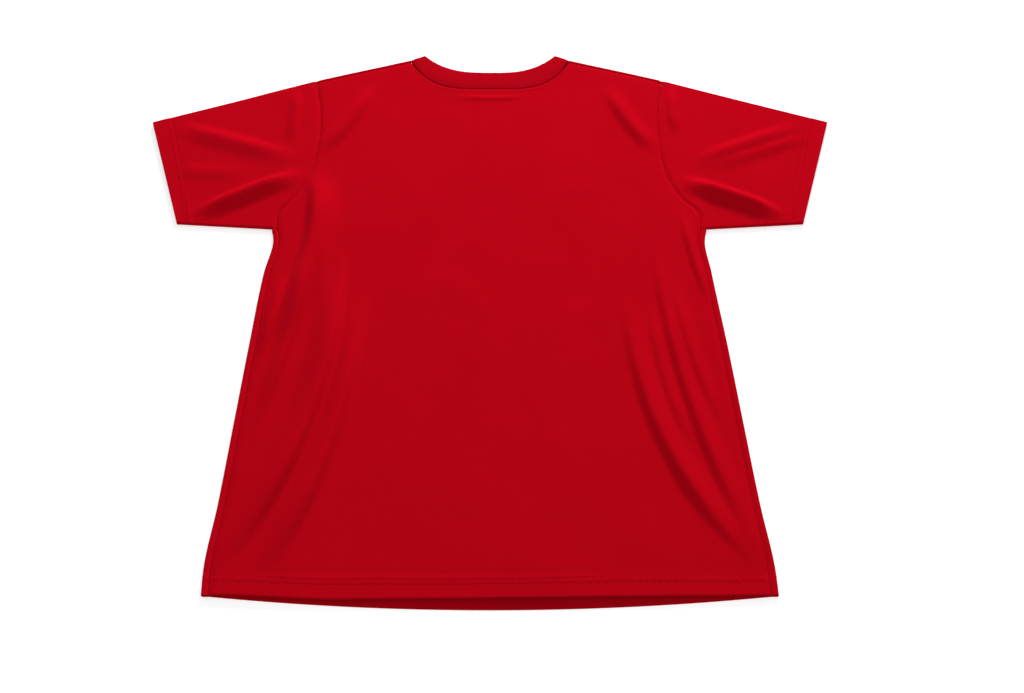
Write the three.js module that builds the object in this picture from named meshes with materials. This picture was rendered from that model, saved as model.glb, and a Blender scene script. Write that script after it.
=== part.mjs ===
// A plain short-sleeved softball t-shirt, laid flat on its front with its back up.
// Five cut pieces of thin cloth: front, back, two sleeves and the neckband.
// Millimetres. +Z is up, +Y runs to the neck and +X to the right-hand sleeve as it lies.
// A height is measured up the shirt from the back hem.

import * as THREE from "three";

// The cloth
const WALL = 1.2;
const TURNED_WALL = 2.0; // at the hems and cuffs, where the edge is turned up and sewn
const TURN_UP = 20;
const NECKBAND_WALL = 1.6;
const SEAM_GAP = 0.35;
const BEND = 1.8; // radius at the middle of the wall where a layer folds over
const TOP_LAYER = WALL / 2 + 2 * BEND; // the upper layer's middle, where no fold lifts it

// The body
const SHOULDER_HEIGHT = 703;
const PIT_HEIGHT = 466;
const NECK_POINT_HEIGHT = 740;
const NECK_HALF_WIDTH = 105;
const BACK_NECK_HEIGHT = 692;
const FRONT_NECK_HEIGHT = 650;
const FRONT_HEM_DROP = 14; // how far the lower hem shows below the upper one
const SIDE_RIM = 8; // the front comes round each side by this much, up to the side seam
const SHOULDER_RIM = 5;
const FRONT_ARMHOLE_SCOOP = 10;
const RIM_OPENING = 1; // how much the side seam opens just below the armhole

// Distance of the back's side seam, then of its armhole seam, from the middle line
const BACK_EDGE = [
  { height: 0, left: 283, right: 283 },
  { height: 25, left: 284, right: 283 },
  { height: 100, left: 278, right: 276 },
  { height: 200, left: 272, right: 269 },
  { height: 300, left: 266, right: 262 },
  { height: 400, left: 259, right: 254 },
  { height: 450, left: 253, right: 251 },
  { height: PIT_HEIGHT, left: 257, right: 255 },
  { height: 488, left: 256, right: 254 },
  { height: 510, left: 240, right: 235 },
  { height: 540, left: 226, right: 222 },
  { height: 580, left: 218, right: 216 },
  { height: 620, left: 216, right: 215 },
  { height: 660, left: 219, right: 217 },
  { height: SHOULDER_HEIGHT, left: 227, right: 225 },
];

// The sleeves
const CUFF_TOP = { x: 433, height: 634 };
const CUFF_BOTTOM = { x: 380, height: 472 };

// The neckband
const BAND_HALF_WIDTH = 87; // where its free edge folds over
const BAND_TIP_HEIGHT = 752;
const BACK_BAND_HEIGHT = 721;
const FRONT_BAND_HEIGHT = 672;

// The largest folds of the upper layer: a crest runs from one point by another to a third
const FOLDS = [
  { from: [-222, 415], by: [-238, 340], to: [-254, 270], height: 8, reach: 15 },
  { from: [-211, 455], by: [-228, 310], to: [-262, 190], height: 6, reach: 14 },
  { from: [-180, 435], by: [-160, 190], to: [-280, 32], height: 8, reach: 20 },
  { from: [-146, 375], by: [-150, 180], to: [-232, 30], height: 6, reach: 18 },
  { from: [222, 395], by: [224, 290], to: [250, 195], height: 6, reach: 14 },
  { from: [197, 450], by: [198, 230], to: [282, 32], height: 6, reach: 16 },
  { from: [158, 385], by: [156, 130], to: [272, 28], height: 8, reach: 20 },
  { from: [-155, 700], by: [-176, 625], to: [-216, 578], height: 6, reach: 18 },
  { from: [150, 700], by: [172, 625], to: [212, 578], height: 6, reach: 18 },
  { from: [-368, 482], by: [-300, 520], to: [-228, 550], height: 11, reach: 20 },
  { from: [-405, 626], by: [-330, 600], to: [-236, 568], height: 6, reach: 18 },
  { from: [-252, 690], by: [-247, 645], to: [-250, 600], height: 4, reach: 14 },
  { from: [362, 482], by: [300, 514], to: [232, 540], height: 11, reach: 20 },
  { from: [398, 626], by: [320, 592], to: [250, 562], height: 6, reach: 18 },
  { from: [240, 694], by: [231, 650], to: [238, 615], height: 4, reach: 14 },
];
const FOLD_STEPS = 12;
const FOLD_FADE = 0.3; // share of a fold's length over which each end dies away

const MIDDLE_HEIGHT = (BAND_TIP_HEIGHT + NECKBAND_WALL / 2 - FRONT_HEM_DROP) / 2;

// The meshes' spacing; pieces that meet at a seam share its points
const BODY_ROWS = 8;
const ARMHOLE_ROWS = 10;
const BACK_SIDE_COLUMNS = 5;
const FRONT_SIDE_COLUMNS = 2;
const SLEEVE_ROWS = 6;
const FOLLOWING_ROW = 4; // from the middle of a turn-up's step to the rows beside it
const NECK_TURNS = [0, 5, 15, 30, 45, 60, 75, 90, 105, 120, 135, 150, 165, 175, 180];

const cloth = { color: 0xbc0518, roughness: 0.6, metalness: 0 };

const { lerp, smoothstep, degToRad } = THREE.MathUtils;

function evenSteps(count, from = 0, to = 1) {
  return Array.from({ length: count + 1 }, (_, step) => lerp(from, to, step / count));
}

const TURN_UP_HEIGHTS = [0, TURN_UP - FOLLOWING_ROW / 2, TURN_UP + FOLLOWING_ROW / 2];
const BODY_TOP = 450;
const BODY_HEIGHTS = evenSteps(BODY_ROWS, TURN_UP + FOLLOWING_ROW / 2, BODY_TOP).slice(1);
const BODY_STEP = BODY_HEIGHTS[1] - BODY_HEIGHTS[0];
const ARMHOLE_HEIGHTS = evenSteps(ARMHOLE_ROWS, PIT_HEIGHT, SHOULDER_HEIGHT);
const HEIGHTS = [...TURN_UP_HEIGHTS, ...BODY_HEIGHTS, ...ARMHOLE_HEIGHTS];

// The back's edge as a smooth curve, then as straight steps between the shared heights
function edgeCurve(side) {
  const heights = BACK_EDGE.map((row) => row.height);
  const distances = BACK_EDGE.map((row) => row[side]);
  const curve = new THREE.CubicInterpolant(heights, distances, 1);
  const shared = HEIGHTS.map((height) => curve.evaluate(height)[0]);
  const steps = new THREE.LinearInterpolant(HEIGHTS, shared, 1);
  return (height) => steps.evaluate(height)[0];
}

const backEdge = { left: edgeCurve("left"), right: edgeCurve("right") };
const SHOULDER = { left: backEdge.left(SHOULDER_HEIGHT), right: backEdge.right(SHOULDER_HEIGHT) };

// How far the folds lift the upper layer at a place
function foldLift(x, height) {
  let lift = 0;
  for (const fold of FOLDS) {
    const ends = [fold.from, fold.by, fold.to].map((end) => new THREE.Vector2(...end));
    const crest = new THREE.QuadraticBezierCurve(...ends);
    const shares = evenSteps(FOLD_STEPS);
    const distances = shares.map((share) => crest.getPoint(share).distanceTo({ x, y: height }));
    const nearest = Math.min(...distances);
    const along = shares[distances.indexOf(nearest)];
    const fade = smoothstep(along, 0, FOLD_FADE) * smoothstep(1 - along, 0, FOLD_FADE);
    lift += fold.height * fade * (1 - smoothstep(nearest, 0, fold.reach));
  }
  return lift;
}

function upperLayer(x, height) {
  return new THREE.Vector3(x, height, TOP_LAYER + foldLift(x, height));
}

// Bends a flat distance over a fold line: out along the lower layer, round and back on top
function bendOver(distance, foldLine) {
  const start = foldLine - BEND;
  const past = distance - start;
  if (past <= 0) {
    return { distance, rise: 0 };
  }
  if (past < Math.PI * BEND) {
    const angle = past / BEND;
    return { distance: start + BEND * Math.sin(angle), rise: BEND * (1 - Math.cos(angle)) };
  }
  return { distance: start - (past - Math.PI * BEND), rise: 2 * BEND };
}

// The flat distance that a rim reaches so that, bent over, it ends at the seam
function rimReach(foldLine, seam) {
  return 2 * (foldLine - BEND) - seam + Math.PI * BEND;
}

// Flat distances from a rim's end to the two ends and the middle of its bend
function rimSteps(rim) {
  const onTop = rim - WALL / 2 - BEND - SEAM_GAP;
  return [0, onTop, onTop + (Math.PI / 2) * BEND, onTop + Math.PI * BEND];
}

// A surface between four edge curves; across and up run from 0 to 1
function between(edges, across, up) {
  const point = new THREE.Vector2();
  point.addScaledVector(edges.bottom(across), 1 - up);
  point.addScaledVector(edges.top(across), up);
  point.addScaledVector(edges.left(up), 1 - across);
  point.addScaledVector(edges.right(up), across);
  point.addScaledVector(edges.bottom(0), -(1 - across) * (1 - up));
  point.addScaledVector(edges.bottom(1), -across * (1 - up));
  point.addScaledVector(edges.top(0), -(1 - across) * up);
  point.addScaledVector(edges.top(1), -across * up);
  return point;
}

// A closed wall round a grid of points that lie at its middle
function wall(columns, thickness, isRing) {
  const count = columns.length;
  const rows = columns[0].length;
  const next = (i) => (isRing ? (i + 1) % count : Math.min(i + 1, count - 1));
  const previous = (i) => (isRing ? (i + count - 1) % count : Math.max(i - 1, 0));
  const positions = [];
  for (let i = 0; i < count; i += 1) {
    for (let j = 0; j < rows; j += 1) {
      const middle = columns[i][j];
      const sideways = columns[next(i)][j].clone().sub(columns[previous(i)][j]);
      const upwards = columns[i][Math.min(j + 1, rows - 1)].clone();
      upwards.sub(columns[i][Math.max(j - 1, 0)]);
      const half = sideways.cross(upwards).setLength(thickness(i, j) / 2);
      for (const skin of [middle.clone().add(half), middle.clone().sub(half)]) {
        positions.push(skin.x, skin.y - MIDDLE_HEIGHT, skin.z);
      }
    }
  }
  const outer = ([i, j]) => 2 * (i * rows + j);
  const inner = ([i, j]) => outer([i, j]) + 1;
  const faces = [];
  const quad = (a, b, c, d) => faces.push(a, b, c, a, c, d);
  const rim = (from, to) => quad(inner(from), inner(to), outer(to), outer(from));
  for (let i = 0; i < (isRing ? count : count - 1); i += 1) {
    for (let j = 0; j < rows - 1; j += 1) {
      const [a, b, c, d] = [[i, j], [next(i), j], [next(i), j + 1], [i, j + 1]];
      quad(outer(a), outer(b), outer(c), outer(d));
      quad(inner(c), inner(b), inner(a), inner(d)); // cut along the same diagonal
    }
    rim([i, 0], [next(i), 0]);
    rim([next(i), rows - 1], [i, rows - 1]);
  }
  for (let j = 0; j < rows - 1 && !isRing; j += 1) {
    rim([count - 1, j], [count - 1, j + 1]);
    rim([0, j + 1], [0, j]);
  }
  const geometry = new THREE.BufferGeometry();
  geometry.setAttribute("position", new THREE.Float32BufferAttribute(positions, 3));
  geometry.setIndex(faces);
  return geometry;
}

function shoulderSeam(x) {
  const edge = x < 0 ? SHOULDER.left : SHOULDER.right;
  return lerp(SHOULDER_HEIGHT, NECK_POINT_HEIGHT, (edge - Math.abs(x)) / (edge - NECK_HALF_WIDTH));
}

function shoulderFold(x) {
  return shoulderSeam(x) + SHOULDER_RIM - WALL / 2;
}

// Where along a panel's top edge, from 0 to 1, the neck has made this part of its half turn
function acrossAtTurn(turn) {
  const x = NECK_HALF_WIDTH * ((2 * turn) / Math.PI - 1);
  return (x + SHOULDER.left) / (SHOULDER.left + SHOULDER.right);
}

// A panel's edge from shoulder to shoulder by way of the neck; neck.shape is 1 at its ends
function topEdge(across, neck, shoulder) {
  const x = across * (SHOULDER.left + SHOULDER.right) - SHOULDER.left;
  if (Math.abs(x) > NECK_HALF_WIDTH) {
    return new THREE.Vector2(x, shoulder(x));
  }
  const turn = (Math.PI / 2) * (1 + x / NECK_HALF_WIDTH);
  const height = lerp(neck.bottom, shoulder(NECK_HALF_WIDTH), neck.shape(turn));
  return new THREE.Vector2(-NECK_HALF_WIDTH * Math.cos(turn), height);
}

const neckTurns = NECK_TURNS.map(degToRad);
const backNeck = { bottom: BACK_NECK_HEIGHT, shape: (turn) => Math.cos(turn) ** 4 };
const frontNeck = { bottom: FRONT_NECK_HEIGHT, shape: (turn) => 1 - Math.sin(turn) };

const backEdges = {
  bottom: (share) => new THREE.Vector2(lerp(-backEdge.left(0), backEdge.right(0), share), 0),
  top: (share) => topEdge(share, backNeck, shoulderSeam),
  left: (share) => {
    const height = share * SHOULDER_HEIGHT;
    return new THREE.Vector2(-backEdge.left(height), height);
  },
  right: (share) => {
    const height = share * SHOULDER_HEIGHT;
    return new THREE.Vector2(backEdge.right(height), height);
  },
};

function backPoint(across, up) {
  const flat = between(backEdges, across, up);
  return upperLayer(flat.x, flat.y);
}

const bodyThickness = (i, j) => (j < 2 ? TURNED_WALL : WALL);

// Shares across a panel: its side, the neck's turns, its other side
function panelColumns(sideSteps) {
  const neck = neckTurns.map(acrossAtTurn);
  const side = evenSteps(sideSteps, 0, neck[0]).slice(0, -1);
  const otherSide = evenSteps(sideSteps, neck.at(-1), 1).slice(1);
  return [...side, ...neck, ...otherSide];
}

function makeBack() {
  const rows = HEIGHTS.map((height) => height / SHOULDER_HEIGHT);
  const columns = panelColumns(BACK_SIDE_COLUMNS).map((across) => (
    rows.map((up) => backPoint(across, up))
  ));
  return wall(columns, bodyThickness, false);
}

function sideFold(side, height) {
  return backEdge[side](height) + SIDE_RIM - WALL / 2;
}

function frontArmhole(side, height) {
  const up = THREE.MathUtils.clamp((height - PIT_HEIGHT) / (SHOULDER_HEIGHT - PIT_HEIGHT), 0, 1);
  return backEdge[side](height) - FRONT_ARMHOLE_SCOOP * Math.sin(Math.PI * up);
}

// The front's edge laid out flat: the side with its rim, then the armhole
function frontEdge(side, height) {
  if (height >= PIT_HEIGHT) {
    return frontArmhole(side, height);
  }
  const gap = SEAM_GAP + RIM_OPENING * smoothstep(height, BODY_TOP - BODY_STEP, BODY_TOP);
  return rimReach(sideFold(side, height), backEdge[side](height) + gap);
}

function shoulderRimEnd(x) {
  return rimReach(shoulderFold(x), shoulderSeam(x) + SEAM_GAP);
}

const FRONT_TOP = shoulderRimEnd(SHOULDER.right);

const frontEdges = {
  bottom: (share) => {
    const x = lerp(-frontEdge("left", 0), frontEdge("right", 0), share);
    const fromMiddle = Math.min(1, Math.abs(x) / backEdge.right(0));
    return new THREE.Vector2(x, -FRONT_HEM_DROP * (1 - fromMiddle ** 2));
  },
  top: (share) => topEdge(share, frontNeck, shoulderRimEnd),
  left: (share) => new THREE.Vector2(-frontEdge("left", share * FRONT_TOP), share * FRONT_TOP),
  right: (share) => new THREE.Vector2(frontEdge("right", share * FRONT_TOP), share * FRONT_TOP),
};

// The lower layer, laid out flat between its edges, then bent over the sides and shoulders
function frontPoint(across, up, thickness) {
  const flat = between(frontEdges, across, up);
  const side = flat.x < 0 ? "left" : "right";
  const sideways = bendOver(Math.abs(flat.x), sideFold(side, flat.y));
  const upwards = bendOver(flat.y, shoulderFold(flat.x));
  const x = Math.sign(flat.x) * sideways.distance;
  const rise = Math.max(sideways.rise, upwards.rise);
  const lift = foldLift(x, upwards.distance) * (rise / (2 * BEND));
  return new THREE.Vector3(x, upwards.distance, thickness / 2 + rise + lift);
}

function makeFront() {
  const width = frontEdge("left", 0) + frontEdge("right", 0);
  const rim = rimSteps(SIDE_RIM).map((step) => step / width);
  const middle = panelColumns(FRONT_SIDE_COLUMNS).slice(1, -1);
  const across = [...rim, ...middle, ...rim.map((share) => 1 - share).reverse()];
  const shoulderRim = rimSteps(SHOULDER_RIM).map((step) => 1 - step / FRONT_TOP).reverse();
  const rows = [...HEIGHTS.slice(0, -1).map((height) => height / FRONT_TOP), ...shoulderRim];
  const columns = across.map((share, i) => (
    rows.map((up, j) => frontPoint(share, up, bodyThickness(i, j)))
  ));
  return wall(columns, bodyThickness, false);
}

// Places round a flattened sleeve at its armhole, from the shoulder fold round and back:
// upper is 1 on the upper layer, 0 on the lower one
function sleeveRing() {
  const shoulder = SHOULDER_HEIGHT + SHOULDER_RIM - WALL / 2;
  const pit = PIT_HEIGHT + WALL / 2;
  const bend = (fold, inwards, angle) => ({
    height: fold + inwards * BEND * (1 - Math.cos(angle)),
    upper: (1 + Math.sin(angle)) / 2,
  });
  const layer = (upper) => (
    ARMHOLE_HEIGHTS.slice(1).reverse().map((height) => ({ height, upper }))
  );
  const eighth = Math.PI / 4;
  const down = [
    bend(shoulder, -1, 0), bend(shoulder, -1, eighth), bend(shoulder, -1, 2 * eighth),
    ...layer(1),
    bend(pit, 1, 2 * eighth), bend(pit, 1, eighth),
  ];
  const back = [
    bend(pit, 1, 0), bend(pit, 1, -eighth), bend(pit, 1, -2 * eighth),
    ...layer(0).reverse(),
    bend(shoulder, -1, -2 * eighth), bend(shoulder, -1, -eighth),
  ];
  return [...down, ...back];
}

function sleevePoint(side, place, along, thickness) {
  const onTop = place.upper > 0.5;
  const seamX = (onTop ? backEdge[side](place.height) : frontArmhole(side, place.height)) + SEAM_GAP;
  const down = (SHOULDER_HEIGHT + SHOULDER_RIM - place.height)
    / (SHOULDER_HEIGHT + SHOULDER_RIM - PIT_HEIGHT);
  const x = lerp(seamX, lerp(CUFF_TOP.x, CUFF_BOTTOM.x, down), along);
  const height = lerp(place.height, lerp(CUFF_TOP.height, CUFF_BOTTOM.height, down), along);
  const across = side === "left" ? -x : x;
  const lower = thickness / 2;
  const upper = upperLayer(across, height).z;
  return new THREE.Vector3(across, height, lerp(lower, upper, place.upper));
}

function makeSleeve(side) {
  const turnUp = 1 - TURN_UP / (CUFF_TOP.x - SHOULDER[side]);
  const step = FOLLOWING_ROW / 2 / (CUFF_TOP.x - SHOULDER[side]);
  const rows = [...evenSteps(SLEEVE_ROWS, 0, turnUp - step), turnUp + step, 1];
  const thickness = (i, j) => (j >= rows.length - 2 ? TURNED_WALL : WALL);
  const columns = sleeveRing().map((place, i) => (
    rows.map((along, j) => sleevePoint(side, place, along, thickness(i, j)))
  ));
  return wall(columns, thickness, true);
}

// The neckband's sewn edge follows the panels' neck edges, just inside them
function neckbandPoint(turn, isBack, out) {
  const panelEdge = isBack ? backPoint(acrossAtTurn(turn), 1) : frontPoint(acrossAtTurn(turn), 1, WALL);
  const seam = new THREE.Vector3(
    panelEdge.x + 2 * SEAM_GAP * Math.cos(turn),
    panelEdge.y + 2 * SEAM_GAP * Math.sin(turn),
    Math.max(panelEdge.z, NECKBAND_WALL / 2),
  );
  const low = isBack ? BACK_BAND_HEIGHT : FRONT_BAND_HEIGHT;
  const shape = isBack ? Math.abs(Math.cos(turn)) ** 3 : 1 - Math.sin(turn);
  const isTip = Math.sin(turn) < Number.EPSILON;
  const layer = isBack ? TOP_LAYER : NECKBAND_WALL / 2;
  const free = new THREE.Vector3(
    -BAND_HALF_WIDTH * Math.cos(turn),
    lerp(low, BAND_TIP_HEIGHT, shape),
    isTip ? (TOP_LAYER + NECKBAND_WALL / 2) / 2 : layer,
  );
  return seam.lerp(free, out);
}

function makeNeckband() {
  const acrossIt = [0, 0.5, 1];
  const onBack = neckTurns.map((turn) => acrossIt.map((out) => neckbandPoint(turn, true, out)));
  const onFront = neckTurns.slice(1, -1).reverse().map((turn) => (
    acrossIt.map((out) => neckbandPoint(turn, false, out))
  ));
  return wall([...onBack, ...onFront], () => NECKBAND_WALL, true);
}

function piece(name, geometry) {
  const mesh = new THREE.Mesh(geometry, new THREE.MeshStandardMaterial(cloth));
  mesh.name = name;
  return mesh;
}

const shirt = new THREE.Group();
shirt.add(piece("back", makeBack()));
shirt.add(piece("front", makeFront()));
shirt.add(piece("sleeve_left", makeSleeve("left")));
shirt.add(piece("sleeve_right", makeSleeve("right")));
shirt.add(piece("neckband", makeNeckband()));

export default shirt;
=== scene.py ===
# %% [markdown]
# # A t-shirt, laid flat with its back up
# The shirt is five cut pieces of thin knit: a front, a back, two sleeves and a neckband.
# Each one starts here as a flat grid, as cloth does on the cutting table. Its points are then
# moved to where the sewn shirt holds them, and a thin wall and a knit finish are added.

# %% Load the frame
import math
import bmesh
import bpy
import numpy as np
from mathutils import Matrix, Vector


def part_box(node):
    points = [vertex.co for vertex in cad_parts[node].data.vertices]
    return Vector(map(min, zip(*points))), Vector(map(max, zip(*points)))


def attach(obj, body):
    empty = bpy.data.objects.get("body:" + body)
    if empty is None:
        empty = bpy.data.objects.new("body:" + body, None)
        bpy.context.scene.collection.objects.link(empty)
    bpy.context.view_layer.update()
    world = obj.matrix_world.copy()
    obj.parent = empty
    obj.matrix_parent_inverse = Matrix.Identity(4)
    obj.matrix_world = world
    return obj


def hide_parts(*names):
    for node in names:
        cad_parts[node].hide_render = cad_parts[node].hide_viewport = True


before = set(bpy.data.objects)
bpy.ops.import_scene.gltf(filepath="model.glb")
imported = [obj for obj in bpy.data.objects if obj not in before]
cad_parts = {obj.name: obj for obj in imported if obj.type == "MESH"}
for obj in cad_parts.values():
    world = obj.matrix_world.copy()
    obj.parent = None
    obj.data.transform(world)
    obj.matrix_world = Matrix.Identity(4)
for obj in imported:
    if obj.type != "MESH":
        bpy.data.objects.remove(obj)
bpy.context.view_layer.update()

# %% [markdown]
# ## Sizes
# The work is done in millimetres up from the back hem, the way a pattern is drawn, and turned
# into metres at the end. The hem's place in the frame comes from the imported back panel.

# %% The shirt's sizes
MM = 0.001
HEM_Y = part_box("back")[0][1]
CLOTH = 0.9
BEND = 1.8
LOWER = CLOTH / 2
HALF_WALL = 0.6
UPPER = HALF_WALL + 2 * BEND
SEAM_GAP = 0.3
BAND_SEAM_GAP = 0.6
TURN_UP = 20.0
SHOULDER_HEIGHT, PIT_HEIGHT, NECK_POINT_HEIGHT = 703.0, 466.0, 740.0
NECK_HALF_WIDTH, BACK_NECK_HEIGHT, FRONT_NECK_HEIGHT = 105.0, 692.0, 650.0
FRONT_HEM_DROP, SIDE_RIM, SHOULDER_RIM = 14.0, 8.0, 5.0
FRONT_ARMHOLE_SCOOP = 10.0
HEM_HALF_WIDTH = 283.0
CUFF_TOP, CUFF_BOTTOM = (433.0, 634.0), (380.0, 472.0)
BAND_HALF_WIDTH, BAND_TIP_HEIGHT = 87.0, 752.0
BACK_BAND_HEIGHT, FRONT_BAND_HEIGHT = 721.0, 672.0

# height up the shirt, then the seam's distance from the middle line, left and right
BACK_EDGE = np.array([
    (0, 283, 283), (25, 284, 283), (100, 278, 276), (200, 272, 269), (300, 266, 262),
    (400, 259, 254), (450, 253, 251), (466, 257, 255), (488, 256, 254), (510, 240, 235),
    (540, 226, 222), (580, 218, 216), (620, 216, 215), (660, 219, 217), (703, 227, 225),
], dtype=float)


def smooth_curve(places, values, at):
    """A curve through the rows of a table, with no kink at a row."""
    at = np.clip(at, places[0], places[-1])
    slopes = np.gradient(values, places)
    row = np.clip(np.searchsorted(places, at) - 1, 0, len(places) - 2)
    step = places[row + 1] - places[row]
    t = (at - places[row]) / step
    rise = values[row + 1] - values[row]
    start, end = slopes[row] * step, slopes[row + 1] * step
    return values[row] + t * start + t**2 * (3 * rise - 2 * start - end) + t**3 * (start + end - 2 * rise)


def back_edge(x, height):
    """Distance of the back's edge from the middle line, on the side that x is on."""
    left = smooth_curve(BACK_EDGE[:, 0], BACK_EDGE[:, 1], height)
    right = smooth_curve(BACK_EDGE[:, 0], BACK_EDGE[:, 2], height)
    return np.where(x < 0, left, right)


SHOULDER_LEFT, SHOULDER_RIGHT = 227.0, 225.0
print("laid chest", float(back_edge(-1.0, 450.0) + back_edge(1.0, 450.0)) + 2 * SIDE_RIM, "mm")

# %% [markdown]
# ## Folds
# A laid shirt keeps soft ridges where the cloth has nowhere to go: from the armholes down to
# the hem's corners, across the shoulders, and over the sleeves. Each row below is one ridge,
# with three points of its crest, its height, and how far it reaches on its outer and inner
# side. The inner side is the shorter and steeper one, as real folds lean.

# %% The table of ridges
# start, middle (a pull point), end, height, outer reach, inner reach
RIDGES = [
    ((-224, 560), (-186, 455), (-258, 290), 12.0, 16, 36),
    ((-240, 400), (-250, 345), (-261, 270), 5.0, 12, 8),
    ((-213, 420), (-218, 320), (-262, 170), 6.5, 18, 9),
    ((-196, 452), (-197, 400), (-196, 345), 1.6, 14, 9),
    ((-180, 450), (-160, 185), (-284, 22), 11.0, 32, 13),
    ((-148, 400), (-152, 140), (-240, 16), 9.0, 30, 13),
    ((232, 500), (238, 420), (256, 350), 4.0, 12, 8),
    ((217, 395), (220, 290), (252, 195), 4.5, 16, 9),
    ((200, 462), (192, 240), (286, 26), 6.5, 22, 11),
    ((160, 388), (150, 158), (284, 24), 7.5, 26, 12),
    ((185, 366), (186, 250), (222, 155), 3.5, 16, 9),
    ((-153, 704), (-172, 632), (-218, 578), 5.0, 22, 14),
    ((150, 704), (170, 632), (214, 578), 4.5, 22, 14),
    ((-368, 478), (-300, 522), (-226, 552), 10.0, 22, 15),
    ((-408, 630), (-330, 604), (-232, 570), 4.5, 26, 16),
    ((-252, 696), (-246, 645), (-254, 596), 3.5, 14, 9),
    ((-395, 560), (-350, 548), (-300, 552), 1.8, 22, 16),
    ((364, 478), (300, 516), (228, 540), 10.0, 22, 15),
    ((404, 632), (320, 598), (250, 566), 4.5, 24, 14),
    ((412, 612), (350, 590), (262, 552), 2.5, 16, 10),
    ((240, 700), (229, 652), (238, 612), 3.5, 14, 9),
    ((80, 530), (115, 515), (150, 526), 0.5, 18, 14),
    ((-60, 400), (-20, 360), (10, 330), 0.8, 30, 26),
    ((40, 250), (70, 200), (80, 140), 0.8, 30, 26),
    ((-55, 680), (0, 671), (55, 680), 1.3, 7, 7),
]
CREST_STEPS = 40
END_FADE = 0.36
CREST_SHARPNESS = 1.15
FAR_AWAY = 1e9


def ease(value):
    value = np.clip(value, 0, 1)
    return value * value * (3 - 2 * value)


def ridge_lift(x, height, ridge):
    """How far one ridge lifts the cloth at each place."""
    start, pull, end, top, outer, inner = ridge
    share = np.linspace(0, 1, CREST_STEPS)[:, None]
    start, pull, end = (np.array(point, dtype=float) for point in (start, pull, end))
    crest = (1 - share) ** 2 * start + 2 * share * (1 - share) * pull + share**2 * end
    lift = np.zeros_like(x)
    reach = max(outer, inner)
    low, high = crest.min(0) - reach, crest.max(0) + reach
    near = (x > low[0]) & (x < high[0]) & (height > low[1]) & (height < high[1])
    px, py = x[near], height[near]
    nearest = np.full(px.shape, FAR_AWAY)
    along = np.zeros_like(px)
    side = np.zeros_like(px)
    for step in range(CREST_STEPS - 1):
        piece = crest[step + 1] - crest[step]
        length = np.dot(piece, piece)
        t = np.clip(((px - crest[step, 0]) * piece[0] + (py - crest[step, 1]) * piece[1]) / length, 0, 1)
        dx = px - crest[step, 0] - t * piece[0]
        dy = py - crest[step, 1] - t * piece[1]
        distance = np.hypot(dx, dy)
        closer = distance < nearest
        nearest = np.where(closer, distance, nearest)
        along = np.where(closer, (step + t) / (CREST_STEPS - 1), along)
        side = np.where(closer, np.sign(piece[0] * dy - piece[1] * dx), side)
    outwards = -1.0 if start[0] + end[0] < 0 else 1.0
    width = np.where(side * outwards > 0, outer, inner)
    profile = (1 - ease(nearest / width)) ** CREST_SHARPNESS
    fade = ease(along / END_FADE) * ease((1 - along) / END_FADE)
    lift[near] = top * profile * fade
    return lift


print(len(RIDGES), "ridges, the highest", max(row[3] for row in RIDGES), "mm")

# %% [markdown]
# ## The upper layer's level
# Ridges add up with a slow waver, which keeps the flat parts from looking like a board. Close
# to a seam the cloth dips, because the stitches hold it down.

# %% One height for every piece of the upper layer
SEAM_DIP, SEAM_REACH = 1.3, 6.0
LOOSENESS = 0.4
SLOW_WAVER, QUICK_WAVER = 0.45, 0.16
PUCKER_HEIGHT, PUCKER_REACH = 0.6, 8.0
PUCKER_SPACING = 8.0
PUCKER_SLANT = 0.9


def waver(x, height):
    slow = np.sin(x / 61 + 1.3 * np.sin(height / 97)) * np.cos(height / 83 + 0.8 * np.sin(x / 71))
    quick = np.sin(x / 23 + height / 37 + 2 * np.sin(height / 59)) * np.sin(height / 29 - x / 47)
    return SLOW_WAVER * slow + QUICK_WAVER * quick


def upper_level(x, height):
    level = UPPER + LOOSENESS + waver(x, height)
    for ridge in RIDGES:
        level = level + ridge_lift(x, height, ridge)
    return level


def seam_dip(distance):
    return -SEAM_DIP * (1 - ease(distance / SEAM_REACH))


def puckers(along, across, spacing, slant):
    """Small slanting gathers beside a sewn hem, uneven along its length."""
    uneven = 0.4 + 0.3 * np.sin(along / 41) * np.sin(along / 17 + 1)
    wave = np.sin(2 * np.pi * (along + slant * across) / spacing + 1.7 * np.sin(along / 29))
    beside_stitches = np.exp(-((across - TURN_UP + 4) / PUCKER_REACH) ** 2)
    return PUCKER_HEIGHT * uneven * wave * beside_stitches


print("upper layer's middle at", UPPER + LOOSENESS, "mm, dipping", SEAM_DIP, "mm at a seam")


# %% [markdown]
# ## From a flat grid to a panel
# `create_grid` makes the flat cloth. Each point then gets its place from a function of where
# it lies across and up the panel, both from 0 to 1. A thin Solidify makes it cloth.

# %% Helpers that make and dress a piece of cloth


def crowd_to_edges(share, amount):
    """Moves grid lines towards both edges, where bends and hems need more of them."""
    return share - amount * np.sin(2 * np.pi * share) / (2 * np.pi)


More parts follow.
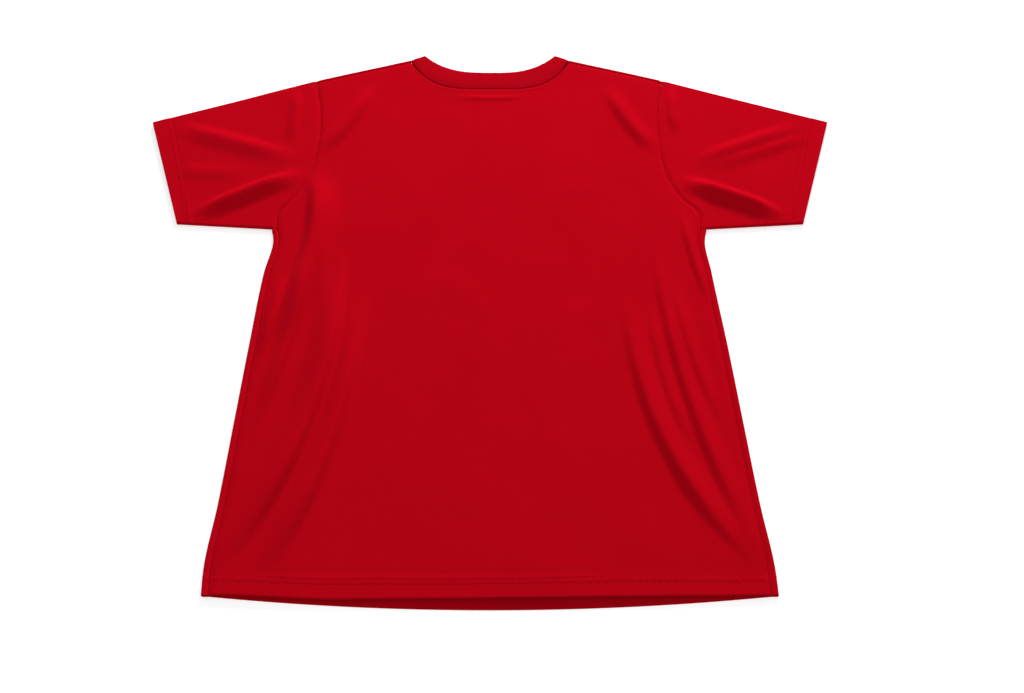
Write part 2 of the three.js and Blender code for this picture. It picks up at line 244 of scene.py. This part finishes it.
def cloth_piece(name, columns, rows, place, is_ring=False):
    mesh_maker = bmesh.new()
    bmesh.ops.create_grid(mesh_maker, x_segments=columns, y_segments=rows, size=0.5)
    flat = np.array([vert.co[:] for vert in mesh_maker.verts])
    x, height, z = place(flat[:, 0] + 0.5, flat[:, 1] + 0.5)
    for vert, px, py, pz in zip(mesh_maker.verts, x, height, z):
        vert.co = (px * MM, HEM_Y + py * MM, pz * MM)
    if is_ring:
        bmesh.ops.remove_doubles(mesh_maker, verts=mesh_maker.verts, dist=1e-6)
    mesh = bpy.data.meshes.new(name)
    mesh_maker.to_mesh(mesh)
    mesh_maker.free()
    mesh.shade_smooth()
    piece = bpy.data.objects.new(name, mesh)
    bpy.context.scene.collection.objects.link(piece)
    wall = piece.modifiers.new("cloth thickness", "SOLIDIFY")
    wall.thickness = CLOTH * MM
    wall.offset = 0
    print(name, len(mesh.polygons), "faces")
    return piece


def between(bottom, top, left, right, across, up):
    """A place inside four edges, each given as a function that returns x and height."""
    place = []
    for axis in (0, 1):
        sides = (1 - across) * left(up)[axis] + across * right(up)[axis]
        ends = (1 - up) * bottom(across)[axis] + up * top(across)[axis]
        zero, one = np.zeros(1), np.ones(1)
        corners = ((1 - across) * (1 - up) * bottom(zero)[axis] + across * (1 - up) * bottom(one)[axis]
                   + (1 - across) * up * top(zero)[axis] + across * up * top(one)[axis])
        place.append(sides + ends - corners)
    return place


def shoulder_seam(x):
    edge = np.where(x < 0, SHOULDER_LEFT, SHOULDER_RIGHT)
    share = (edge - np.abs(x)) / (edge - NECK_HALF_WIDTH)
    return SHOULDER_HEIGHT + (NECK_POINT_HEIGHT - SHOULDER_HEIGHT) * share


def top_edge(across, neck_bottom, neck_shape, shoulder):
    """From shoulder point to shoulder point by way of the neck."""
    x = across * (SHOULDER_LEFT + SHOULDER_RIGHT) - SHOULDER_LEFT
    turn = np.clip(np.pi / 2 * (1 + x / NECK_HALF_WIDTH), 0, np.pi)
    at_neck = np.abs(x) < NECK_HALF_WIDTH
    ends = shoulder(np.full_like(x, NECK_HALF_WIDTH))
    neck = neck_bottom + (ends - neck_bottom) * neck_shape(turn)
    return np.where(at_neck, -NECK_HALF_WIDTH * np.cos(turn), x), np.where(at_neck, neck, shoulder(x))


def across_at_turn(turn):
    x = NECK_HALF_WIDTH * (2 * turn / np.pi - 1)
    return (x + SHOULDER_LEFT) / (SHOULDER_LEFT + SHOULDER_RIGHT)


def back_neck_shape(turn):
    return np.cos(turn) ** 4


def front_neck_shape(turn):
    return 1 - np.sin(turn)


# %% [markdown]
# ## The back
# The back panel is the part that shows most. It is bounded by the hem, the side seams, the
# armholes, the shoulder seams and the neck. Its hem is turned up once, so it is a little
# thicker there, with a small step where the turn-up ends and puckers along the stitches.

# %% Make the back
BACK_CROWDING = (0.35, 0.55)
FROM_SIDE, FROM_TOP = 500, 700  # about the panel's width and height
LEFT_CORNER_LIFT, LIFT_START = 6, 150
TURNED_STEP = 0.55


def back_flat(across, up):
    def bottom(share):
        x = HEM_HALF_WIDTH * (2 * share - 1)
        return x, LEFT_CORNER_LIFT * ease((-x - LIFT_START) / (HEM_HALF_WIDTH - LIFT_START))

    def top(share):
        return top_edge(share, BACK_NECK_HEIGHT, back_neck_shape, shoulder_seam)

    def left(share):
        return -back_edge(-1.0, share * SHOULDER_HEIGHT), share * SHOULDER_HEIGHT

    def right(share):
        return back_edge(1.0, share * SHOULDER_HEIGHT), share * SHOULDER_HEIGHT

    return between(bottom, top, left, right, across, up)


def turned_edge(distance):
    """The extra thickness of a turn-up, with a soft step where it ends."""
    return TURNED_STEP * (1 - ease((distance - TURN_UP + 1.5) / 3))


def place_back(across, up):
    across, up = crowd_to_edges(across, BACK_CROWDING[0]), crowd_to_edges(up, BACK_CROWDING[1])
    x, height = back_flat(across, up)
    from_side = np.minimum(across, 1 - across) * FROM_SIDE
    from_top = (1 - up) * FROM_TOP
    z = upper_level(x, height) + seam_dip(from_side) + 0.3 * seam_dip(from_top)
    slant = np.where(x < 0, -PUCKER_SLANT, PUCKER_SLANT)
    z += turned_edge(height) + puckers(x, height, PUCKER_SPACING, slant)
    return x, height, z


back = cloth_piece("back_panel", 280, 165, place_back)

# %% [markdown]
# ## The front
# The front lies underneath, flat on the table. At each side it comes round the edge to meet
# the back at the side seam, and at the shoulders it does the same by a few millimetres.
# It is laid out flat first, and the part past each edge is then bent over.

# %% Make the front
FRONT_CROWDING = (0.86, 0.82)
FROM_SIDE_SEAM = 560 * 1.6  # a share of the panel's width, in mm
SCOOP_START = 3


def bend_over(distance, fold_line):
    start = fold_line - BEND
    past = distance - start
    angle = np.clip(past / BEND, 0, np.pi)
    on_top = start - (past - np.pi * BEND)
    bent = np.where(past < np.pi * BEND, start + BEND * np.sin(angle), on_top)
    return np.where(past <= 0, distance, bent), np.where(past <= 0, 0, BEND * (1 - np.cos(angle)))


def rim_reach(fold_line, seam):
    return 2 * (fold_line - BEND) - seam + np.pi * BEND


def side_fold(x, height):
    return back_edge(x, height) + SIDE_RIM - HALF_WALL


def shoulder_fold(x):
    return shoulder_seam(x) + SHOULDER_RIM - HALF_WALL


def shoulder_rim_end(x):
    return rim_reach(shoulder_fold(x), shoulder_seam(x) + SEAM_GAP)


def front_armhole(x, height):
    up = np.clip((height - PIT_HEIGHT) / (SHOULDER_HEIGHT - PIT_HEIGHT), 0, 1)
    return back_edge(x, height) - FRONT_ARMHOLE_SCOOP * np.sin(np.pi * up)


def front_edge(x, height):
    rim = rim_reach(side_fold(x, height), back_edge(x, height) + SEAM_GAP)
    return rim + (front_armhole(x, height) - rim) * ease((height - PIT_HEIGHT) / SCOOP_START)


FRONT_TOP = float(shoulder_rim_end(np.array(SHOULDER_RIGHT)))


def front_flat(across, up):
    def bottom(share):
        reach_left, reach_right = front_edge(-1.0, 0.0), front_edge(1.0, 0.0)
        x = -reach_left + (reach_left + reach_right) * share
        return x, -FRONT_HEM_DROP * (1 - np.minimum(1, np.abs(x) / HEM_HALF_WIDTH) ** 2)

    def top(share):
        return top_edge(share, FRONT_NECK_HEIGHT, front_neck_shape, shoulder_rim_end)

    def left(share):
        return -front_edge(-1.0, share * FRONT_TOP), share * FRONT_TOP

    def right(share):
        return front_edge(1.0, share * FRONT_TOP), share * FRONT_TOP

    return between(bottom, top, left, right, across, up)


def bend_front(flat_x, flat_height):
    side, rise_side = bend_over(np.abs(flat_x), side_fold(flat_x, flat_height))
    height, rise_top = bend_over(flat_height, shoulder_fold(flat_x))
    x = np.sign(flat_x) * side
    rise = np.maximum(rise_side, rise_top)
    share = rise / (2 * BEND)
    return x, height, LOWER + share * (upper_level(x, height) - LOWER)


def place_front(across, up):
    across, up = crowd_to_edges(across, FRONT_CROWDING[0]), crowd_to_edges(up, FRONT_CROWDING[1])
    x, height, z = bend_front(*front_flat(across, up))
    on_top = ease((z - UPPER + 1.5) / 1.5)
    from_seam = np.minimum(across, 1 - across) * FROM_SIDE_SEAM
    z += on_top * (seam_dip(from_seam) + turned_edge(height)
                   + puckers(x, height, PUCKER_SPACING, PUCKER_SLANT))
    return x, height, z


front = cloth_piece("front_panel", 230, 150, place_front)

# %% [markdown]
# ## The sleeves
# Each sleeve is a tube sewn into the armhole and pressed flat, so it is a grid whose two long
# edges are joined: one turn goes over the top and comes back underneath.

# %% Make the sleeves
SLEEVE_BEND_ANGLE = 0.17
SLEEVE_CROWDING = 0.5
PIT_CLEARANCE = 2.5
CUFF_PUCKER_SPACING, CUFF_PUCKERS = 7.0, 0.5


def layer_share(angle, bend_angle):
    """1 on a flattened ring's upper layer and 0 on its lower one."""
    from_edge = np.mod(angle, np.pi)
    share = np.clip(np.minimum(from_edge, np.pi - from_edge) / bend_angle, 0, 1)
    return 0.5 + 0.5 * np.where(np.mod(angle, 2 * np.pi) < np.pi, 1, -1) * np.sin(share * np.pi / 2)


def sleeve_maker(sign):
    def place(around, along):
        angle = 2 * np.pi * around * sign
        angle = np.mod(angle, 2 * np.pi)
        along = crowd_to_edges(along, SLEEVE_CROWDING)
        down = (1 - np.cos(angle)) / 2
        seam_top = SHOULDER_HEIGHT + SHOULDER_RIM - HALF_WALL
        seam_height = seam_top * (1 - down) + (PIT_HEIGHT - PIT_CLEARANCE) * down
        over = layer_share(angle, SLEEVE_BEND_ANGLE)
        sides = np.full_like(seam_height, sign)
        seam_x = over * back_edge(sides, seam_height) + (1 - over) * front_armhole(sides, seam_height)
        cuff_x = CUFF_TOP[0] * (1 - down) + CUFF_BOTTOM[0] * down
        cuff_height = CUFF_TOP[1] * (1 - down) + CUFF_BOTTOM[1] * down
        x = sign * ((seam_x + SEAM_GAP) * (1 - along) + cuff_x * along)
        height = seam_height * (1 - along) + cuff_height * along
        from_cuff = (1 - along) * (cuff_x - seam_x)
        from_armhole = along * (cuff_x - seam_x)
        top = upper_level(x, height) + seam_dip(from_armhole) + turned_edge(from_cuff)
        top += CUFF_PUCKERS * puckers(height, from_cuff, CUFF_PUCKER_SPACING, 0.5 * sign)
        return x, height, LOWER + over * (top - LOWER)

    return place


sleeve_left = cloth_piece("sleeve_left_cloth", 210, 95, sleeve_maker(-1.0), is_ring=True)
sleeve_right = cloth_piece("sleeve_right_cloth", 210, 95, sleeve_maker(1.0), is_ring=True)

# %% [markdown]
# ## The neckband
# A strip folded double and sewn round the neck. Its back half lies on top and shows, and its
# front half dips lower, on the table. Both halves meet in a fold at the two tips.

# %% Make the neckband
BAND_WALL = 1.5
TIP_BEND_ANGLE = 0.16
BAND_CROWN, BAND_LOOSENESS = 0.45, 0.5
BAND_DEPTH = 22


def place_neckband(around, out):
    angle = np.mod(2 * np.pi * around, 2 * np.pi)
    is_back = angle < np.pi
    turn = np.where(is_back, angle, 2 * np.pi - angle)
    over = layer_share(angle, TIP_BEND_ANGLE)
    back_x, back_height = back_flat(across_at_turn(turn), np.ones_like(turn))
    front_x, front_height, front_z = bend_front(*front_flat(across_at_turn(turn), np.ones_like(turn)))
    fold = float(shoulder_fold(np.array(NECK_HALF_WIDTH)))
    back_height = back_height + (fold - NECK_POINT_HEIGHT) * np.abs(np.cos(turn)) ** 12
    seam_x = np.where(is_back, back_x, front_x) + BAND_SEAM_GAP * np.cos(turn)
    seam_height = np.where(is_back, back_height, front_height) + BAND_SEAM_GAP * np.sin(turn)
    low = np.where(is_back, BACK_BAND_HEIGHT, FRONT_BAND_HEIGHT)
    shape = np.where(is_back, np.abs(np.cos(turn)) ** 3, 1 - np.sin(turn))
    free_x = -BAND_HALF_WIDTH * np.cos(turn)
    free_height = low + (BAND_TIP_HEIGHT - low) * shape
    x = seam_x * (1 - out) + free_x * out
    height = seam_height * (1 - out) + free_height * out
    crown = BAND_CROWN * np.sin(np.pi * np.clip(out, 0, 1)) ** 0.7
    top = UPPER + BAND_LOOSENESS + waver(x, height) + crown + 0.3 * seam_dip(out * BAND_DEPTH)
    bottom = BAND_WALL / 2
    return x, height, bottom + over * (top - bottom)


neckband = cloth_piece("neckband_rib", 320, 18, place_neckband, is_ring=True)
neckband.modifiers["cloth thickness"].thickness = BAND_WALL * MM
for piece in (back, front, sleeve_left, sleeve_right, neckband):
    mesh_maker = bmesh.new()
    mesh_maker.from_mesh(piece.data)
    print(piece.name, "open edges:", sum(edge.is_boundary for edge in mesh_maker.edges))
    mesh_maker.free()

# %% [markdown]
# ## Stitches
# The hem, the cuffs and the neck seam are held by a machine that sews two rows at once. Each
# stitch is a small rounded bar set on the cloth, a few millimetres long.

# %% Make the rows of stitches
STITCH_LENGTH, STITCH_WIDTH, STITCH_STEP = 2.4, 0.5, 3.1
STITCH_THICKNESS, END_ROUNDING = 0.45, 0.5
ABOVE_CLOTH = 0.05


def stitch_row(maker, x, height, z):
    """Sets stitches along a line that is given as many close points."""
    points = np.stack([x, height, z], axis=1)
    steps = np.linalg.norm(np.diff(points, axis=0), axis=1)
    travelled = np.concatenate([[0], np.cumsum(steps)])
    for start in np.arange(STITCH_STEP, travelled[-1] - STITCH_STEP, STITCH_STEP):
        ends = [np.array([np.interp(at, travelled, points[:, axis]) for axis in range(3)])
                for at in (start, start + STITCH_LENGTH)]
        middle, run = (ends[0] + ends[1]) / 2, ends[1] - ends[0]
        made = bmesh.ops.create_cube(maker, size=1)["verts"]
        turn = math.atan2(run[1], run[0])
        slope = run[2] / STITCH_LENGTH
        for vert in made:
            across = vert.co.y * STITCH_WIDTH
            along = vert.co.x * STITCH_LENGTH
            lift = vert.co.z * STITCH_THICKNESS * (1 - END_ROUNDING * abs(vert.co.x))
            vert.co = (
                (middle[0] + along * math.cos(turn) - across * math.sin(turn)) * MM,
                HEM_Y + (middle[1] + along * math.sin(turn) + across * math.cos(turn)) * MM,
                (middle[2] + slope * along + lift) * MM,
            )


def stitches_on(name, lines, place):
    maker = bmesh.new()
    for across, up in lines:
        x, height, z = place(across, up)
        stitch_row(maker, x, height, z + CLOTH / 2 + ABOVE_CLOTH)
    mesh = bpy.data.meshes.new(name)
    maker.to_mesh(mesh)
    maker.free()
    piece = bpy.data.objects.new(name, mesh)
    bpy.context.scene.collection.objects.link(piece)
    print(name, len(mesh.polygons) // 6, "stitches")
    return piece


def share_at(wanted, amount):
    """The grid share that crowd_to_edges moves to the wanted one."""
    shares = np.linspace(0, 1, 4001)
    return float(np.interp(wanted, crowd_to_edges(shares, amount), shares))


def level_rows(line, share_above_edge, heights, crowding):
    """Rows along a panel, each at one height above its edge."""
    return [(line, np.full_like(line, share_at(share_above_edge(height), crowding))) for height in heights]


# %% [markdown]
# ## Where the rows run
# Each row follows the panel's own shape, a little above its cloth. The hems and cuffs have two
# rows, one at each side of the turn-up's edge, and the back of the neck has one.

# %% Sew the rows
HEM_ROWS, CUFF_ROWS = (15.5, 21.0), (16.0, 21.5)
NECK_ROW = 5.0
NECK_ROW_START = 0.25  # the angle round the neck where its row starts and ends
SLEEVE_LENGTH = 180.0

hem_line = np.linspace(0.004, 0.996, 900)
hem_rows = level_rows(hem_line, lambda height: height / SHOULDER_HEIGHT, HEM_ROWS, BACK_CROWDING[1])
neck_ends = [share_at(across_at_turn(turn), BACK_CROWDING[0])
             for turn in (NECK_ROW_START, np.pi - NECK_ROW_START)]
neck_line = np.linspace(*neck_ends, 500)
neck_up = share_at(1 - NECK_ROW / SHOULDER_HEIGHT, BACK_CROWDING[1])
neck_rows = [(neck_line, np.full_like(neck_line, neck_up))]
back_stitches = stitches_on("back_stitches", hem_rows + neck_rows, place_back)
front_line = np.linspace(0.06, 0.94, 900)
front_rows = level_rows(front_line, lambda height: height / FRONT_TOP, HEM_ROWS, FRONT_CROWDING[1])
front_stitches = stitches_on("front_stitches", front_rows, place_front)
sleeve_stitches = []
for name, sign in (("left", -1.0), ("right", 1.0)):
    over_top = np.linspace(0.03, 0.47, 400) if sign > 0 else np.linspace(0.97, 0.53, 400)
    rows = level_rows(over_top, lambda height: 1 - height / SLEEVE_LENGTH, CUFF_ROWS, SLEEVE_CROWDING)
    sleeve_stitches.append(stitches_on("sleeve_" + name + "_stitches", rows, sleeve_maker(sign)))

# %% [markdown]
# ## The knit
# The cloth is a smooth polyester knit: strong red, soft sheen, and loops so fine that they
# only break up the light. The loops are two crossed waves in the bump, a slow noise shifts
# the colour a little, and the highlights are tinted, as they are on dyed fibre.

# %% Make the materials
KNIT_RED = (0.52, 0.0016, 0.0092, 1)
KNIT_DARK = (0.46, 0.0013, 0.0072, 1)
THREAD_RED = (0.40, 0.002, 0.009, 1)
SHEEN_RED = (1.0, 0.01, 0.05, 1)
WAVE_SCALE = 0.314  # a wave's scale for loops one metre apart


def cloudy_colour(nodes, links, place, colour, shade):
    """One red that drifts slowly into a darker one."""
    cloudy = nodes.new("ShaderNodeTexNoise")
    cloudy.inputs["Scale"].default_value = 14
    cloudy.inputs["Detail"].default_value = 6
    blend = nodes.new("ShaderNodeMix")
    blend.data_type = "RGBA"
    blend.inputs["A"].default_value = shade
    blend.inputs["B"].default_value = colour
    links.new(place.outputs["Object"], cloudy.inputs["Vector"])
    links.new(cloudy.outputs["Fac"], blend.inputs["Factor"])
    return blend.outputs["Result"]


def knit_loops(nodes, links, place, loop_size, bump_distance):
    """Crossed waves for the loops, with a fine grain over them."""
    crossed = nodes.new("ShaderNodeMath")
    crossed.operation = "MULTIPLY"
    for socket, direction in enumerate(("X", "Y")):
        loops = nodes.new("ShaderNodeTexWave")
        loops.bands_direction = direction
        loops.inputs["Scale"].default_value = WAVE_SCALE / loop_size
        loops.inputs["Distortion"].default_value = 0.6
        links.new(place.outputs["Object"], loops.inputs["Vector"])
        links.new(loops.outputs["Fac"], crossed.inputs[socket])
    grain = nodes.new("ShaderNodeTexNoise")
    grain.inputs["Scale"].default_value = 900
    links.new(place.outputs["Object"], grain.inputs["Vector"])
    summed = nodes.new("ShaderNodeMath")
    links.new(crossed.outputs["Value"], summed.inputs[0])
    links.new(grain.outputs["Fac"], summed.inputs[1])
    bump = nodes.new("ShaderNodeBump")
    bump.inputs["Strength"].default_value = 0.35
    bump.inputs["Distance"].default_value = bump_distance
    links.new(summed.outputs["Value"], bump.inputs["Height"])
    return bump.outputs["Normal"]


def fabric(name, colour, shade, loop_size, bump_distance, roughness):
    material = bpy.data.materials.new(name)
    material.use_nodes = True
    nodes, links = material.node_tree.nodes, material.node_tree.links
    shader = nodes["Principled BSDF"]
    shader.inputs["Roughness"].default_value = roughness
    shader.inputs["Specular IOR Level"].default_value = 0
    shader.inputs["Specular Tint"].default_value = SHEEN_RED
    shader.inputs["Sheen Weight"].default_value = 0.3
    shader.inputs["Sheen Roughness"].default_value = 0.45
    shader.inputs["Sheen Tint"].default_value = SHEEN_RED
    place = nodes.new("ShaderNodeTexCoord")
    links.new(cloudy_colour(nodes, links, place, colour, shade), shader.inputs["Base Color"])
    links.new(knit_loops(nodes, links, place, loop_size, bump_distance), shader.inputs["Normal"])
    print(name, "loops", round(loop_size * 1000, 1), "mm apart")
    return material


jersey = fabric("red jersey", KNIT_RED, KNIT_DARK, 0.0011, 0.0002, 0.55)
rib = fabric("red rib", KNIT_DARK, THREAD_RED, 0.0022, 0.0004, 0.6)
thread = fabric("red thread", THREAD_RED, THREAD_RED, 0.0006, 0.0001, 0.5)

# %% [markdown]
# ## Dress the pieces
# Every piece rides the one body and stands for its CAD node. The stitches go with the piece they're sewn
# in.

# %% Dress every piece and let it ride the body
pieces = {"back": back, "front": front, "sleeve_left": sleeve_left,
          "sleeve_right": sleeve_right, "neckband": neckband}
trims = {"back": back_stitches, "front": front_stitches,
         "sleeve_left": sleeve_stitches[0], "sleeve_right": sleeve_stitches[1]}
for node, piece in pieces.items():
    is_band = node == "neckband"
    piece.data.materials.append(rib if is_band else jersey)
    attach(piece, "root")
    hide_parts(node)
    trim = trims.get(node)
    if trim:
        trim.data.materials.append(thread)
        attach(trim, "root")

# %% [markdown]
# ## Table and background
# The table is white, and so is the room. Rays straight from the camera see a brighter white
# than the cloth does, so the background is clean and the table still takes a shadow.

# %% Table and background
TABLE_REACH = 6
TABLE_GLOW = 0.5
ROOM_LIGHT = 0.42
table_maker = bmesh.new()
bmesh.ops.create_grid(table_maker, x_segments=1, y_segments=1, size=TABLE_REACH)
table_mesh = bpy.data.meshes.new("table")
table_maker.to_mesh(table_mesh)
table_maker.free()
table = bpy.data.objects.new("table", table_mesh)
bpy.context.scene.collection.objects.link(table)
table_white = bpy.data.materials.new("white table")
table_white.use_nodes = True
table_shader = table_white.node_tree.nodes["Principled BSDF"]
table_shader.inputs["Base Color"].default_value = (0.9, 0.9, 0.9, 1)
table_shader.inputs["Roughness"].default_value = 1
table_shader.inputs["Specular IOR Level"].default_value = 0
table_shader.inputs["Emission Color"].default_value = (1, 1, 1, 1)


def seen_directly(nodes, links):
    """1 for rays that come from the camera, mirror reflections or glass."""
    path = nodes.new("ShaderNodeLightPath")
    total = nodes.new("ShaderNodeMath")
    total.use_clamp = True
    more = nodes.new("ShaderNodeMath")
    more.use_clamp = True
    links.new(path.outputs["Is Camera Ray"], total.inputs[0])
    links.new(path.outputs["Is Glossy Ray"], total.inputs[1])
    links.new(total.outputs["Value"], more.inputs[0])
    links.new(path.outputs["Is Transmission Ray"], more.inputs[1])
    return more


table_nodes, table_links = table_white.node_tree.nodes, table_white.node_tree.links
lifted = table_nodes.new("ShaderNodeMath")
lifted.operation = "MULTIPLY"
lifted.inputs[1].default_value = TABLE_GLOW
table_links.new(seen_directly(table_nodes, table_links).outputs["Value"], lifted.inputs[0])
table_links.new(lifted.outputs["Value"], table_shader.inputs["Emission Strength"])
table.data.materials.append(table_white)

world = bpy.data.worlds.new("white room")
world.use_nodes = True
bpy.context.scene.world = world
room_nodes, room_links = world.node_tree.nodes, world.node_tree.links
room = room_nodes["Background"]
room.inputs["Color"].default_value = (1, 1, 1, 1)
strength = room_nodes.new("ShaderNodeMapRange")
strength.inputs["To Min"].default_value = ROOM_LIGHT
strength.inputs["To Max"].default_value = 1
room_links.new(seen_directly(room_nodes, room_links).outputs["Value"], strength.inputs["Value"])
room_links.new(strength.outputs["Result"], room.inputs["Strength"])
print("table", 2 * TABLE_REACH, "m wide, room light", ROOM_LIGHT)

# %% [markdown]
# ## Lamps and camera
# The main lamp stands beyond the neck and to the right, so each ridge is bright on its far
# side and dark on its near one. A weak, wide lamp fills in from the near side.

# %% Lamps and camera
MIDDLE_Y = HEM_Y + 0.2977
CAMERA_DISTANCE, CAMERA_RISE = 1.373, math.radians(58)
LENS, SENSOR_WIDTH, SHIFT_X = 42.39, 36, 0.0215


def aim(thing, target):
    direction = [t - p for t, p in zip(target, thing.location)]
    flat = math.hypot(direction[0], direction[1])
    thing.rotation_euler = (math.atan2(flat, -direction[2]), 0, math.atan2(-direction[0], direction[1]))


def lamp(name, location, size, power):
    light = bpy.data.lights.new(name, "AREA")
    light.size = size
    light.energy = power
    holder = bpy.data.objects.new(name, light)
    bpy.context.scene.collection.objects.link(holder)
    holder.location = location
    aim(holder, (0, MIDDLE_Y, 0))
    print(name, power, "W")


lamp("far lamp", (0.62, 2.7, 1.2), 0.7, 98)
lamp("near fill", (0.2, -1.8, 2.4), 2.0, 12)

camera_data = bpy.data.cameras.new("camera")
camera_data.lens = LENS
camera_data.sensor_width = SENSOR_WIDTH
camera_data.shift_x = SHIFT_X
camera = bpy.data.objects.new("camera", camera_data)
bpy.context.scene.collection.objects.link(camera)
camera_back = CAMERA_DISTANCE * math.cos(CAMERA_RISE)
camera.location = (0, MIDDLE_Y - camera_back, CAMERA_DISTANCE * math.sin(CAMERA_RISE))
aim(camera, (0, MIDDLE_Y, 0))
bpy.context.scene.camera = camera
bpy.context.scene.view_settings.view_transform = "Standard"
